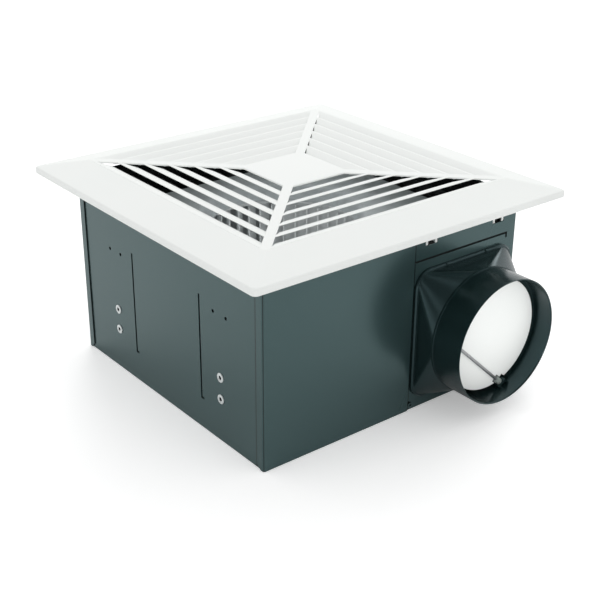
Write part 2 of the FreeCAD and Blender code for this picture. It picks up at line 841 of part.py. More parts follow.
def motor_shaft():
    shoulder = hub_foot - shoulder_length
    low = bearing_low + motor_wall / 3
    shoulder_r = shaft_r + shaft_shoulder
    points = [(0, low), (shaft_r, low), (shaft_r, shoulder), (shoulder_r, shoulder), (shoulder_r, hub_foot),
              (shaft_r, hub_foot), (shaft_r, shaft_top), (0, shaft_top)]
    return turned(points, wheel_x, wheel_y)


def rotor_core():
    return tube(core_bore_r - air_gap, shaft_r + fit, V(wheel_x, wheel_y, core_low), Z, core_height)


def stator_core():
    """Laminated ring with round slots open to the bore."""
    core = tube(motor_r - motor_wall - fit, core_bore_r, V(wheel_x, wheel_y, core_low), Z, core_height)
    slot_r = winding_width / 4
    for k in range(slot_count):
        place = polar(wheel_x, wheel_y, core_bore_r + 2 * slot_r, 360 * k / slot_count, core_low)
        core = core.cut(rod(slot_r, place, Z, core_height))
    return core


def windings():
    """End turns above and below the core."""
    inner = core_bore_r + winding_width / 4
    rings = []
    for z in (core_low - winding_height, core_high):
        ring = tube(inner + winding_width, inner, V(wheel_x, wheel_y, z), Z, winding_height)
        reach = (core_height + winding_height) / 2
        ends = [e for e in ring.Edges if e.Closed and abs(e.CenterOfMass.z - motor_split) > reach]
        rings.append(ring.makeChamfer(winding_edge, ends))
    return Part.makeCompound(rings)


def bearing(low):
    return tube(bearing_r, shaft_r + fit, V(wheel_x, wheel_y, low), Z, bearing_width)


def motor_half(foot, up):
    """Pressed cup with a bearing seat and a bolting flange; up is 1 for the base, -1 for the cover."""
    mouth = abs(motor_split - foot)
    seat_r = bearing_r + fit
    hole_r = shaft_r + shaft_shoulder + motor_wall / 3
    levels = [
        (hole_r, 0), (motor_r, 0), (motor_r, mouth - motor_wall), (motor_flange_r, mouth - motor_wall),
        (motor_flange_r, mouth), (motor_r - motor_wall, mouth), (motor_r - motor_wall, motor_wall),
        (seat_r + motor_wall, motor_wall), (seat_r + motor_wall, motor_wall + bearing_width),
        (seat_r, motor_wall + bearing_width), (seat_r, motor_wall), (hole_r, motor_wall),
    ]
    shell = turned([(r, foot + up * z) for r, z in levels], wheel_x, wheel_y)
    for place in motor_screw_places():
        shell = shell.cut(rod(motor_screw_r + fit, place - Z * 2 * motor_wall, Z, 4 * motor_wall))
    return shell


def motor_screw_places():
    ring = (motor_r + motor_flange_r) / 2
    return [polar(wheel_x, wheel_y, ring, 45 + 90 * k, motor_split) for k in range(4)]


def motor_base():
    shell = motor_half(motor_foot, 1)
    start = V(lead_x, wheel_y - motor_r - motor_wall, lead_z)
    return shell.cut(rod(lead_r + fit, start, Y, motor_r))


def motor_plate():
    """Square plate under the motor, on four rubber feet."""
    side = plate_side / 2
    outline = rounded_rect(side, side, plate_corner_r, panel_level(plate_z))
    plate = Part.Face(outline).extrude(Z * plate_wall)
    plate.translate(V(wheel_x, wheel_y, 0))
    for place in foot_places():
        plate = plate.cut(rod(foot_screw_r + fit, place + Z * plate_z, Z, plate_wall))
    return plate


def motor_grommets():
    return Part.makeCompound([tube(grommet_r, grommet_bore_r, place + Z * sheet, Z, grommet_height)
                              for place in foot_places()])


def motor_feet_screws():
    length = motor_foot - sheet / 4
    return Part.makeCompound([screw(foot_screw_r, foot_head_r, place + Z * motor_foot, -Z, length)
                              for place in foot_places()])


def motor_screws():
    length = 2 * motor_wall
    return Part.makeCompound([screw(motor_screw_r, screw_head_r, place + Z * motor_wall, -Z, length)
                              for place in motor_screw_places()])


def terminal_box():
    """Open box in the corner by the cable hole."""
    box = block(terminal_x0, terminal_x1, terminal_y0, terminal_y1, sheet, terminal_top)
    box = box.cut(block(terminal_x0 + terminal_wall, terminal_x1 - terminal_wall,
                        terminal_y0 + terminal_wall, terminal_y1 - terminal_wall,
                        sheet + terminal_wall, terminal_top))
    box = box.cut(rod(cable_r + grommet_wall, V(terminal_x0, cable_y, cable_z), X, terminal_wall))
    box = box.cut(rod(lead_r + fit, V(terminal_x1 - terminal_wall, lead_y, lead_z), X, terminal_wall))
    return fused([box] + [post.cut(hole) for post, hole in cover_posts()])


def cover_places():
    inset = 2 * terminal_wall
    return [V(terminal_x0 + inset, terminal_y1 - inset, terminal_top),
            V(terminal_x1 - inset, terminal_y0 + inset, terminal_top)]


def cover_posts():
    """Posts for the cover's screws in two opposite corners of the terminal box."""
    posts = []
    for place in cover_places():
        foot = V(place.x, place.y, sheet + terminal_wall / 2)
        post = rod(post_r, foot, Z, terminal_top - foot.z)
        posts.append((post, rod(adapter_screw_r + fit, place - Z * terminal_z / 2, Z, terminal_z / 2)))
    return posts


def terminal_cover():
    lid = block(terminal_x0, terminal_x1, terminal_y0, terminal_y1, terminal_top,
                terminal_top + cover_wall)
    corners = [e for e in lid.Edges if abs(e.Vertexes[0].Z - e.Vertexes[1].Z) > cover_wall / 2]
    lid = lid.makeFillet(terminal_wall, corners)
    for place in cover_places():
        lid = lid.cut(rod(adapter_screw_r + fit, place, Z, cover_wall))
    return lid


def terminal_screws():
    length = cover_wall + terminal_z / 3
    return Part.makeCompound([screw(adapter_screw_r, screw_head_r, place + Z * cover_wall, -Z, length)
                              for place in cover_places()])


def terminal_block():
    """Three-way screw connector on the floor of the terminal box."""
    x = (terminal_x0 + terminal_x1) / 2
    y = cable_y
    floor = sheet + terminal_wall
    body = block(x - block_x / 2, x + block_x / 2, y - block_y / 2, y + block_y / 2, floor, floor + block_z)
    for k in (-1, 0, 1):
        place = V(x + k * block_pitch, y, floor + block_z / 2)
        body = body.cut(rod(block_hole_r, place, Z, block_z / 2))
    for k in (-1, 1):
        x0 = x + k * block_pitch / 2 - block_gap / 2
        body = body.cut(block(x0, x0 + block_gap, y - block_y / 2, y + block_y / 2,
                              floor + block_z - block_gap, floor + block_z))
    return body


def cable_grommet():
    """Inlet for the supply cable, from outside the rear wall into the terminal box."""
    hole_r = cable_r + grommet_wall
    start = V(-half, cable_y, cable_z)
    sleeve = tube(hole_r - fit, cable_r, start, X, terminal_x0 + terminal_wall + half)
    return fused([sleeve, tube(hole_r + grommet_lip, cable_r, start - X * grommet_lip, X, grommet_lip)])


def lead_grommet():
    """Rubber ring where the motor's lead passes the scroll, with a lip on each side of its wall."""
    lip_r = lead_hole_r + grommet_lip
    sag = arc_r - math.sqrt(arc_r ** 2 - lip_r ** 2)
    start = V(lead_x, lead_cross_y, lead_z)
    inside = sheet + sag + fit
    sleeve = tube(lead_hole_r - fit, lead_r + fit, start, Y, inside)
    lips = [tube(lip_r, lead_r + fit, start + Y * y, Y, grommet_lip) for y in (-grommet_lip, inside)]
    return fused([sleeve] + lips)


def motor_lead():
    """Sheathed lead: out of the terminal box along the wall, then through the scroll to the motor."""
    start = V(terminal_x1 - terminal_wall, lead_y, lead_z)
    bend_x, bend_y = lead_x - lead_bend_r, lead_y + lead_bend_r
    inner_r = motor_r - motor_wall
    finish = V(lead_x, wheel_y - math.sqrt(inner_r ** 2 - (wheel_x - lead_x) ** 2), lead_z)
    path = Part.Wire([line(start, V(bend_x, lead_y, lead_z)),
                      arc(lambda angle: polar(bend_x, bend_y, lead_bend_r, angle, lead_z), 270, 360),
                      line(V(lead_x, bend_y, lead_z), finish)])
    section = Part.Wire([Part.makeCircle(lead_r, start, X)])
    return path.makePipeShell([section], True, True)


def capacitor_middle():
    return V(outlet_x - sheet - capacitor_wall_gap - capacitor_x / 2, -wall_y / 2, sheet)


def capacitor_eye():
    """From the capacitor's middle to the hole in its ear."""
    return V(0, capacitor_y / 2 + capacitor_ear / 2, 0)


def capacitor():
    """Moulded run capacitor with a screw ear at one end."""
    half_x, half_y = capacitor_x / 2, capacitor_y / 2
    body = block(-half_x, half_x, -half_y, half_y, 0, capacitor_z)
    edges = [e for e in body.Edges if abs(e.Vertexes[0].Z - e.Vertexes[1].Z) > capacitor_z / 2]
    body = body.makeFillet(capacitor_corner_r, edges)
    ear = block(-half_x / 2, half_x / 2, 0, half_y + capacitor_ear, 0, capacitor_ear_wall)
    case = fused([body, ear]).cut(rod(adapter_screw_r + fit, capacitor_eye(), Z, capacitor_ear_wall))
    case.translate(capacitor_middle())
    return case


def capacitor_screw():
    start = capacitor_middle() + capacitor_eye() + Z * capacitor_ear_wall
    return screw(adapter_screw_r, screw_head_r, start, -Z, capacitor_ear_wall + 0.8 * sheet)


NODES = {
    "back_plate": back_plate,
    "outlet_wall": outlet_wall,
    "outlet_panel": outlet_panel,
    "rear_wall": rear_wall,
    "left_wall": lambda: side_wall(-wall_x, wall_x),
    "right_wall": lambda: side_wall(wall_y, outlet_x),
    "left_rivet_nuts": lambda: rivet_nuts(-wall_x, Y),
    "right_rivet_nuts": lambda: rivet_nuts(wall_x, -Y),
    "inlet_plate": inlet_plate,
    "scroll_wall": scroll_wall,
    "outlet_adapter": outlet_adapter,
    "adapter_screws": adapter_screws,
    "panel_screws": panel_screws,
    "damper_flap": damper_flap,
    "damper_pin": damper_pin,
    "damper_bushes": damper_bushes,
    "grille_panel": grille_panel,
    "wheel_plate": wheel_plate,
    "wheel_blades": wheel_blades,
    "wheel_ring": wheel_ring,
    "hub_nut": hub_nut,
    "motor_shaft": motor_shaft,
    "rotor_core": rotor_core,
    "stator_core": stator_core,
    "windings": windings,
    "lower_bearing": lambda: bearing(bearing_low),
    "upper_bearing": lambda: bearing(bearing_high),
    "motor_base": motor_base,
    "motor_cover": lambda: motor_half(motor_top, -1),
    "motor_screws": motor_screws,
    "motor_plate": motor_plate,
    "motor_grommets": motor_grommets,
    "motor_feet_screws": motor_feet_screws,
    "terminal_box": terminal_box,
    "terminal_cover": terminal_cover,
    "terminal_screws": terminal_screws,
    "terminal_block": terminal_block,
    "cable_grommet": cable_grommet,
    "lead_grommet": lead_grommet,
    "motor_lead": motor_lead,
    "capacitor": capacitor,
    "capacitor_screw": capacitor_screw,
}

os.makedirs("parts", exist_ok=True)
for name, make in NODES.items():
    make().exportStep("parts/" + name + ".step")
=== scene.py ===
import math

import bmesh
import bpy
from mathutils import Matrix, Vector


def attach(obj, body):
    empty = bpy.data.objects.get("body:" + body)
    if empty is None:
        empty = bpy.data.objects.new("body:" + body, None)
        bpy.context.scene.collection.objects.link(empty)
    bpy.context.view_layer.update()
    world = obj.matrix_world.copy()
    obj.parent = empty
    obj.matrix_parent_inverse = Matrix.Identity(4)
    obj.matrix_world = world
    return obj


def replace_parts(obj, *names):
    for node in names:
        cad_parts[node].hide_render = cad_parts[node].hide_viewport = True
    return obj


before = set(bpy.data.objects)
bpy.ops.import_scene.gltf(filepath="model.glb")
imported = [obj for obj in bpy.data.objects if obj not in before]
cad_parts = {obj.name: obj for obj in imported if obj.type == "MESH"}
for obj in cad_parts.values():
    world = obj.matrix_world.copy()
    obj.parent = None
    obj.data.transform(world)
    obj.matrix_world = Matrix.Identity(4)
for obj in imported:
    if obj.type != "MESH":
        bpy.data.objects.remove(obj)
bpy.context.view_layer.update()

# ---------------------------------------------------------------------------------------------------
# Box: six sheets of 1 mm steel, folded and then painted, dark blue-grey outside and near black inside; the
# near black is a backing coat and also painted shade.
# The duct side and the rear wall wrap round the corners with return flanges, the two sides are spot
# welded behind those flanges, and a shallow tray closes the back.

MM = 0.001
SMOOTH_UP_TO = math.radians(35)


def srgb(red, green, blue):
    """Linear colour, with alpha, of an 8-bit sRGB triple."""
    shares = [c / 255 for c in (red, green, blue)]
    return tuple(c / 12.92 if c < 0.04 else ((c + 0.055) / 1.055) ** 2.4 for c in shares) + (1.0,)


class Wire:
    """Socket of a node tree that takes part in Python sums: each operator adds a Math node."""

    def __init__(self, graph, socket):
        self.graph, self.socket = graph, socket

    def sum(self, operation, *terms):
        return self.graph.add("ShaderNodeMath", {"operation": operation}, dict(enumerate(terms)))

    def __add__(self, other):
        return self.sum("ADD", self, other)

    def __sub__(self, other):
        return self.sum("SUBTRACT", self, other)

    def __rsub__(self, other):
        return self.sum("SUBTRACT", other, self)

    def __mul__(self, other):
        return self.sum("MULTIPLY", self, other)

    def __abs__(self):
        return self.sum("ABSOLUTE", self)

    def above(self, level):
        return self.sum("GREATER_THAN", self, level)

    __radd__, __rmul__ = __add__, __mul__


class Graph:
    """Node tree under construction: add() makes a node and returns one of its outputs as a Wire."""

    def __init__(self, tree):
        self.tree = tree

    def add(self, kind, settings, inputs, output=0):
        node = self.tree.nodes.new(kind)
        for name, value in settings.items():
            setattr(node, name, value)
        for key, value in inputs.items():
            if isinstance(value, Wire):
                self.tree.links.new(value.socket, node.inputs[key])
            else:
                node.inputs[key].default_value = value
        return Wire(self, node.outputs[output])

    def ease(self, value, low, high):
        """0 below low, 1 above high, smooth between them."""
        return self.add("ShaderNodeMapRange", {"interpolation_type": "SMOOTHSTEP"},
                        {0: value, 1: low, 2: high})


class Finish(Graph):
    """Material with one Principled shader: its constants are set on it, feed() links what varies."""

    def __init__(self, name, **constants):
        self.material = bpy.data.materials.new(name)
        self.material.use_nodes = True
        super().__init__(self.material.node_tree)
        self.shader = self.tree.nodes["Principled BSDF"]
        for label, value in constants.items():
            self.shader.inputs[label.replace("_", " ")].default_value = value

    def place(self, stretch=(1, 1, 1)):
        own = self.add("ShaderNodeTexCoord", {}, {}, "Object")
        return self.add("ShaderNodeMapping", {}, {"Vector": own, "Scale": stretch})

    def noise(self, per_metre, detail=2.0, stretch=(1, 1, 1)):
        return self.add("ShaderNodeTexNoise", {},
                        {"Vector": self.place(stretch), "Scale": per_metre, "Detail": detail})

    def axis(self, letter):
        return self.add("ShaderNodeSeparateXYZ", {}, {0: self.place()}, letter)

    def mix(self, share, low, high):
        return self.add("ShaderNodeMix", {"data_type": "RGBA"}, {0: share, 6: low, 7: high}, 2)

    def feed(self, relief=None, depth=0.0, **varying):
        """Links Base_Color, Roughness and the like; relief is a height pattern, depth its height in mm."""
        if relief:
            varying["Normal"] = self.add("ShaderNodeBump", {}, {"Distance": depth * MM, "Height": relief})
        for label, wire in varying.items():
            self.tree.links.new(wire.socket, self.shader.inputs[label.replace("_", " ")])
        return self.material


def smooth(mesh):
    mesh.shade_smooth()
    mesh.set_sharp_from_angle(angle=SMOOTH_UP_TO)
    return mesh


def fitted(name, mesh, body, slot, material, *nodes):
    """New piece on a body, with a material, that stands for CAD nodes; slot is not used."""
    made = bpy.data.objects.new(name, smooth(mesh))
    bpy.context.scene.collection.objects.link(made)
    mesh.materials.clear()
    mesh.materials.append(material)
    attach(made, body)
    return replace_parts(made, *nodes) if nodes else made


def eased(made, width, segments=2):
    """Rounds a piece's sharp edges by a width in mm."""
    bevel = made.modifiers.new("eased_edges", "BEVEL")
    bevel.width, bevel.segments = width * MM, segments
    bevel.limit_method, bevel.angle_limit = "ANGLE", SMOOTH_UP_TO
    bevel.use_clamp_overlap, bevel.harden_normals = False, True
    return made


def dressed(node, body, slot, material, edge):
    """Piece with a CAD node's shape: welded, its flats joined, its edges eased."""
    weld, flat = 0.002 * MM, math.radians(0.4)
    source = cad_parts[node].data
    mesh = bpy.data.meshes.new(node + "_form")
    mesh.from_pydata([v.co for v in source.vertices], [], [list(p.vertices) for p in source.polygons])
    form = bmesh.new()
    form.from_mesh(mesh)
    bmesh.ops.remove_doubles(form, verts=form.verts, dist=weld)
    bmesh.ops.dissolve_limit(form, angle_limit=flat, verts=form.verts, edges=form.edges)
    form.to_mesh(mesh)
    form.free()
    return eased(fitted(node + "_dressed", mesh, body, slot, material, node), edge)


def box_paint():
    """Satin enamel on the outer skin; near black inside, a backing coat that is also painted shade; painted
    shade along the seams and folds.
    """
    # The inside colour is a near-black backing coat and also painted shade: it darkens the inside of the box
    # and the floor of the outlet panel's groove.
    coat, coat_worn, inside = srgb(71, 95, 96), srgb(67, 91, 92), srgb(12, 18, 18)
    skin, proud, bend, tray, half_height = 0.1235, 0.1245, 0.1241, 0.0005, 0.0775
    return_edge, seam, seam_shade_share, turn_over = (0.1146, 0.1168), (0.0150, 0.0168), 0.7, 0.002
    paint = Finish("box_paint", Metallic=0.62, Coat_Roughness=0.2)
    cloud = paint.noise(9, 3.0)
    middle = paint.add("ShaderNodeVectorMath", {"operation": "SUBTRACT"},
                       {0: paint.place(), 1: (0, 0, half_height)})
    facing = paint.add("ShaderNodeVectorMath", {"operation": "DOT_PRODUCT"},
                       {0: paint.add("ShaderNodeNewGeometry", {}, {}, "Normal"), 1: middle}, 1)
    x, y, z = (paint.axis(letter) for letter in "XYZ")
    on_skin = abs(x).above(skin) + abs(y).above(skin) + (tray - z).above(0.0)
    outward = paint.ease(facing, -turn_over, turn_over) * on_skin.above(0.5)
    # Painted shade: the colour is darkened in narrow bands beside the return flange's edge and the outlet
    # panel's seam, and over the folded corners.
    seam_shade = ((x.above(return_edge[0]) - x.above(return_edge[1]))
              * (abs(y).above(skin) - abs(y).above(proud))
              + (y.above(seam[0]) - y.above(seam[1])) * (x.above(skin) - x.above(proud))
              + abs(x).above(bend) * abs(y).above(bend))
    colour = paint.mix(outward * (1 - seam_shade_share * seam_shade), inside, paint.mix(cloud, coat, coat_worn))
    gloss = 0.24 + 0.04 * cloud + 0.4 * (1 - outward)
    return paint.feed(paint.noise(900, 1.0), 0.0006, Base_Color=colour, Roughness=gloss,
                      Coat_Weight=0.2 * outward)


painted_steel = box_paint()
for sheet_node in ("back_plate", "outlet_wall", "outlet_panel", "rear_wall", "left_wall", "right_wall"):
    dressed(sheet_node, "housing", "housing_paint", painted_steel, 0.15)

# ---------------------------------------------------------------------------------------------------
# Rivet nuts: bright zinc-plated inserts with an M4 thread, four in each side wall, for the hanging
# brackets. Each is pushed through its hole and clinched, so only its thin flange stands proud.


class Pattern(Graph):
    """Geometry tree with named sizes that repeats a unit mesh; grow() gives back a plain mesh."""

    def __init__(self, name, **sizes):
        tree = bpy.data.node_groups.new(name, "GeometryNodeTree")
        super().__init__(tree)
        kinds = {int: "NodeSocketInt", float: "NodeSocketFloat", tuple: "NodeSocketVector"}
        tree.interface.new_socket("Unit", in_out="INPUT", socket_type="NodeSocketGeometry")
        self.sizes = {}
        for label, value in sizes.items():
            socket = tree.interface.new_socket(label, in_out="INPUT", socket_type=kinds[type(value)])
            self.sizes[socket.identifier] = value
        tree.interface.new_socket("Result", in_out="OUTPUT", socket_type="NodeSocketGeometry")
        self.entry = tree.nodes.new("NodeGroupInput")

    def size(self, label):
        return Wire(self, self.entry.outputs[label])

    def vector(self, x, y, z):
        return self.add("ShaderNodeCombineXYZ", {}, {0: x, 1: y, 2: z})

    def instances(self, points, unit, turn=(0, 0, 0)):
        spin = self.add("FunctionNodeEulerToRotation", {}, {0: turn})
        return self.add("GeometryNodeInstanceOnPoints", {},
                        {"Points": points, "Instance": unit, "Rotation": spin})

    def turned(self, unit, count):
        """Copies of a unit at even angles round Z."""
        step = self.size("Turn_step") * self.add("GeometryNodeInputIndex", {}, {})
        spots = self.add("GeometryNodeMeshLine", {}, {"Count": count, "Offset": (0, 0, 0)})
        return self.instances(spots, unit, self.vector(0.0, 0.0, step))

    def grow(self, unit, result, material):
        solid = self.add("GeometryNodeRealizeInstances", {}, {0: result})
        done = self.add("GeometryNodeSetMaterial", {}, {"Geometry": solid, "Material": material})
        end = self.tree.nodes.new("NodeGroupOutput")
        self.tree.links.new(done.socket, end.inputs[0])
        host = bpy.data.objects.new(self.tree.name, unit)
        bpy.context.scene.collection.objects.link(host)
        tool = host.modifiers.new(self.tree.name, "NODES")
        tool.node_group = self.tree
        for identifier, value in self.sizes.items():
            tool[identifier] = value
        bpy.context.view_layer.update()
        grown = host.evaluated_get(bpy.context.evaluated_depsgraph_get())
        mesh = bpy.data.meshes.new_from_object(grown)
        host.modifiers.remove(tool)
        bpy.data.objects.remove(host)
        return mesh


def in_rows(name, unit, material, span, count, turn, place):
    """Units in a flat grid, which is then turned and put in place; lengths in mm."""
    rows = Pattern(name, Span_x=span[0] * MM, Span_y=span[1] * MM, Count_x=count[0], Count_y=count[1],
                   Turn=tuple(math.radians(a) for a in turn), Place=tuple(c * MM for c in place))
    spots = rows.add("GeometryNodeMeshGrid", {},
                     {"Size X": rows.size("Span_x"), "Size Y": rows.size("Span_y"),
                      "Vertices X": rows.size("Count_x"), "Vertices Y": rows.size("Count_y")})
    laid = rows.instances(spots, rows.size("Unit"))
    put = rows.add("GeometryNodeTransform", {},
                   {"Geometry": laid, "Translation": rows.size("Place"), "Rotation": rows.size("Turn")})
    return rows.grow(unit, put, material)


def revolved(name, outline, steps=40):
    """Closed solid of revolution about Z from (radius, height) points in mm."""
    form = bmesh.new()
    rings = []
    for k in range(steps):
        angle = 2 * math.pi * k / steps
        rings.append([form.verts.new((r * math.cos(angle) * MM, r * math.sin(angle) * MM, z * MM))
                      for r, z in outline])
    for ring, following in zip(rings, rings[1:] + rings[:1]):
        for i in range(len(outline)):
            j = (i + 1) % len(outline)
            form.faces.new((ring[i], following[i], following[j], ring[j]))
    return sealed(name, form)


def sealed(name, form):
    """Mesh of a closed form: doubles and poles merged, faces pointing outwards."""
    weld, sliver = 0.001 * MM, 0.0005 * MM
    bmesh.ops.remove_doubles(form, verts=form.verts, dist=weld)
    bmesh.ops.dissolve_degenerate(form, edges=form.edges, dist=sliver)
    bmesh.ops.recalc_face_normals(form, faces=form.faces)
    mesh = bpy.data.meshes.new(name)
    form.to_mesh(mesh)
    form.free()
    return mesh


def plated_steel(name, tone, roughness, stain_depth=22):
    """Brushed and plated steel, stained in clouds by so many levels of its tone."""
    plate = Finish(name, Metallic=1.0)
    brushed = plate.noise(900, 2.0, (1, 1, 6))
    stain = plate.noise(160, 3.0)
    stained = srgb(*(c - stain_depth for c in tone))
    return plate.feed(brushed, 0.01, Base_Color=plate.mix(stain, srgb(*tone), stained),
                      Roughness=roughness + 0.16 * stain)


zinc_plate = plated_steel("zinc_plate", (222, 228, 228), 0.30)


def greased_insert():
    """Bright zinc where the flange stands outside the wall; near black behind it, painted shade in the
    thread and bore.
    """
    # Painted shade: the body and threaded bore inside the wall are near black.
    wall_face, bore_shade = 0.1241, srgb(12, 13, 13)
    insert = Finish("greased_insert")
    shown = abs(insert.axis("Y")).above(wall_face)
    stain = insert.noise(160, 3.0)
    zinc = insert.mix(stain, srgb(236, 240, 240), srgb(218, 224, 224))
    return insert.feed(Base_Color=insert.mix(shown, bore_shade, zinc), Metallic=0.6 * shown,
                       Roughness=0.7 - 0.35 * shown)


insert_zinc = greased_insert()


def nut_outline():
    """Flange, clinched body and a threaded bore, as (radius, height above the sheet)."""
    flange_r, flange, body_r, body_length, bore_r = 3.75, 0.8, 2.6, 6.5, 1.65
    pitch, crest, mouth, edge, knee = 0.65, 0.22, 0.15, 0.35, 0.1
    threads = int(body_length / pitch)
    outside = [(bore_r + mouth, flange), (flange_r - edge, flange), (flange_r - knee, flange - knee),
               (flange_r, flange - edge), (flange_r, 0), (body_r, 0), (body_r, -body_length)]
    bore = [(bore_r + (crest if k % 2 else 0), -body_length + k * pitch / 2) for k in range(2 * threads)]
    return outside + bore + [(bore_r, flange - edge)]


nut_span, nut_height = (144, 18), 45
for side_node, turn_x, wall_y in (("left_rivet_nuts", 90, -124), ("right_rivet_nuts", -90, 124)):
    nuts = in_rows(side_node + "_rows", revolved("rivet_nut", nut_outline(), 36), insert_zinc,
                   nut_span, (2, 2), (turn_x, 0, 0), (0, wall_y, nut_height))
    fitted(side_node + "_dressed", nuts, "housing", "fastener_steel", insert_zinc, side_node)

# ---------------------------------------------------------------------------------------------------
# Air guides: galvanised sheet. The inlet plate lies across the box with a pressed bell-mouth over the
# wheel; painted shade in near black lies over its margins along the walls. The scroll is one rolled strip
# that stands between it and the tray, both spot welded.


def galvanised_sheet(name, dull, bright):
    """Zinc-coated sheet with its spangle, and painted shade in near black over the margins of the inlet
    plate.
    """
    margin_x, margin_y, plate_level, margin_shade = 0.1088, 0.1160, 0.118, srgb(12, 16, 16)
    zinc = Finish(name, Metallic=0.1)
    flake = zinc.add("ShaderNodeTexVoronoi", {}, {"Vector": zinc.place(), "Scale": 210.0}, "Color")
    tint = zinc.add("ShaderNodeSeparateColor", {}, {0: flake})
    cloud = zinc.noise(14, 3.0)
    x, y, z = (zinc.axis(letter) for letter in "XYZ")
    # Painted shade: near black over the plate's margins along the walls.
    shaded_margin = (abs(x).above(margin_x) + abs(y).above(margin_y)).above(0.5) * z.above(plate_level)
    bare = zinc.mix(tint * 0.55 + cloud * 0.45, srgb(*dull), srgb(*bright))
    colour = zinc.mix(shaded_margin, bare, margin_shade)
    return zinc.feed(zinc.noise(700, 2.0), 0.012, Base_Color=colour, Roughness=0.42 + 0.2 * tint)


galvanised = galvanised_sheet("galvanised_sheet", (185, 192, 194), (199, 205, 207))
dressed("inlet_plate", "housing", "galvanised", galvanised, 0.12)
bright_sheet = galvanised_sheet("bright_sheet", (230, 234, 235), (241, 244, 244))
dressed("scroll_wall", "housing", "galvanised", bright_sheet, 0.12)

# ---------------------------------------------------------------------------------------------------
# Motor: two pressed cups flanged together round a laminated stator with random-wound copper end turns,
# on a square plate that stands on four rubber bushes. The rotor runs in two ball bearings.

WHEEL_X = -14
for sheet_node in ("motor_base", "motor_cover", "motor_plate"):
    dressed(sheet_node, "housing", "galvanised", galvanised, 0.2)


def stacked_laminations():
    stack = Finish("stacked_laminations", Metallic=0.85)
    seam = stack.add("ShaderNodeTexWave", {"bands_direction": "Z"},
                     {"Vector": stack.place(), "Scale": 320.0, "Distortion": 0.3})
    rust = stack.noise(220, 3.0)
    return stack.feed(seam, 0.05, Base_Color=stack.mix(rust, srgb(96, 98, 102), srgb(122, 112, 104)),
                      Roughness=0.45 + 0.2 * rust)


laminated_steel = stacked_laminations()
dressed("stator_core", "housing", "lamination", laminated_steel, 0.1)
dressed("rotor_core", "rotor", "lamination", laminated_steel, 0.1)
bearing_steel = plated_steel("bearing_steel", (205, 206, 208), 0.18)
for bearing_node in ("lower_bearing", "upper_bearing"):
    dressed(bearing_node, "housing", "bearing_steel", bearing_steel, 0.4)


def enamelled_copper():
    wire = Finish("enamelled_copper", Metallic=0.9, Coat_Weight=0.3)
    shade = wire.noise(300, 2.0)
    return wire.feed(Base_Color=wire.mix(shade, srgb(196, 112, 62), srgb(150, 76, 38)),
                     Roughness=0.28 + 0.2 * shade)


def wire_ring(radius, gauge, steps=56, sides=6):
    """One turn of winding wire, as a thin torus in mm."""
    form = bmesh.new()
    loops = []
    for k in range(steps):
        a = 2 * math.pi * k / steps
        loops.append([form.verts.new((
            (radius + gauge * math.cos(2 * math.pi * j / sides)) * math.cos(a) * MM,
            (radius + gauge * math.cos(2 * math.pi * j / sides)) * math.sin(a) * MM,
            gauge * math.sin(2 * math.pi * j / sides) * MM)) for j in range(sides)])
    for loop, following in zip(loops, loops[1:] + loops[:1]):
        for j in range(sides):
            form.faces.new((loop[j], following[j], following[(j + 1) % sides], loop[(j + 1) % sides]))
    return sealed("wire_ring", form)


def end_turns(turns=70, middle_r=25.6, gauge=0.32, any_angle=6.28):
    """Turns of wire at random sizes, heights and slants that fill each end ring of the stator."""
    coil = Pattern("end_turns", Turns=turns, Spread=0.118, Rise=0.0036, Lean=0.035, Lift=0.01355,
                   Place=(WHEEL_X * MM, 0.0, 0.0275), Seed=11)

    def chance(low, high, extra):
        return coil.add("FunctionNodeRandomValue", {"data_type": "FLOAT"},
                        {2: low, 3: high, "Seed": coil.size("Seed") + extra}, 1)

    spots = coil.add("GeometryNodeMeshLine", {}, {"Count": coil.size("Turns"), "Offset": (0, 0, 0)})
    index = coil.add("GeometryNodeInputIndex", {}, {})
    side = coil.add("ShaderNodeMath", {"operation": "SIGN"}, {0: index - (turns - 1) / 2})
    height = side * coil.size("Lift") + chance(-0.5, 0.5, 1) * coil.size("Rise")
    spots = coil.add("GeometryNodeSetPosition", {},
                     {"Geometry": spots, "Position": coil.vector(0.0, 0.0, height)})
    lean = coil.size("Lean")
    turn = coil.vector(chance(-1.0, 1.0, 2) * lean, chance(-1.0, 1.0, 3) * lean,
                       chance(0.0, any_angle, 4))
    spread = 1 + chance(-1.0, 1.0, 5) * coil.size("Spread")
    spin = coil.add("FunctionNodeEulerToRotation", {}, {0: turn})
    wound = coil.add("GeometryNodeInstanceOnPoints", {},
                     {"Points": spots, "Instance": coil.size("Unit"), "Rotation": spin,
                      "Scale": coil.vector(spread, spread, 1.0)})
    put = coil.add("GeometryNodeTransform", {}, {"Geometry": wound, "Translation": coil.size("Place")})
    return coil.grow(wire_ring(middle_r, gauge), put, copper)


copper = enamelled_copper()
fitted("windings_dressed", end_turns(), "housing", "copper_wire", copper, "windings")


def soft_rubber():
    rubber = Finish("soft_rubber", Specular_IOR_Level=0.3)
    bloom = rubber.noise(90, 3.0)
    return rubber.feed(rubber.noise(1500, 2.0), 0.03, Roughness=0.62 + 0.2 * bloom,
                       Base_Color=rubber.mix(bloom, srgb(26, 27, 28), srgb(44, 45, 46)))


black_rubber = soft_rubber()
dressed("motor_grommets", "housing", "rubber_black", black_rubber, 0.5)

# ---------------------------------------------------------------------------------------------------
# Wheel: forward-curved, of galvanised steel. Thirty-eight rolled blades stand between a back plate with
# a deep cup over the motor and a flat front ring; a hexagon nut holds the boss on the motor's shaft.


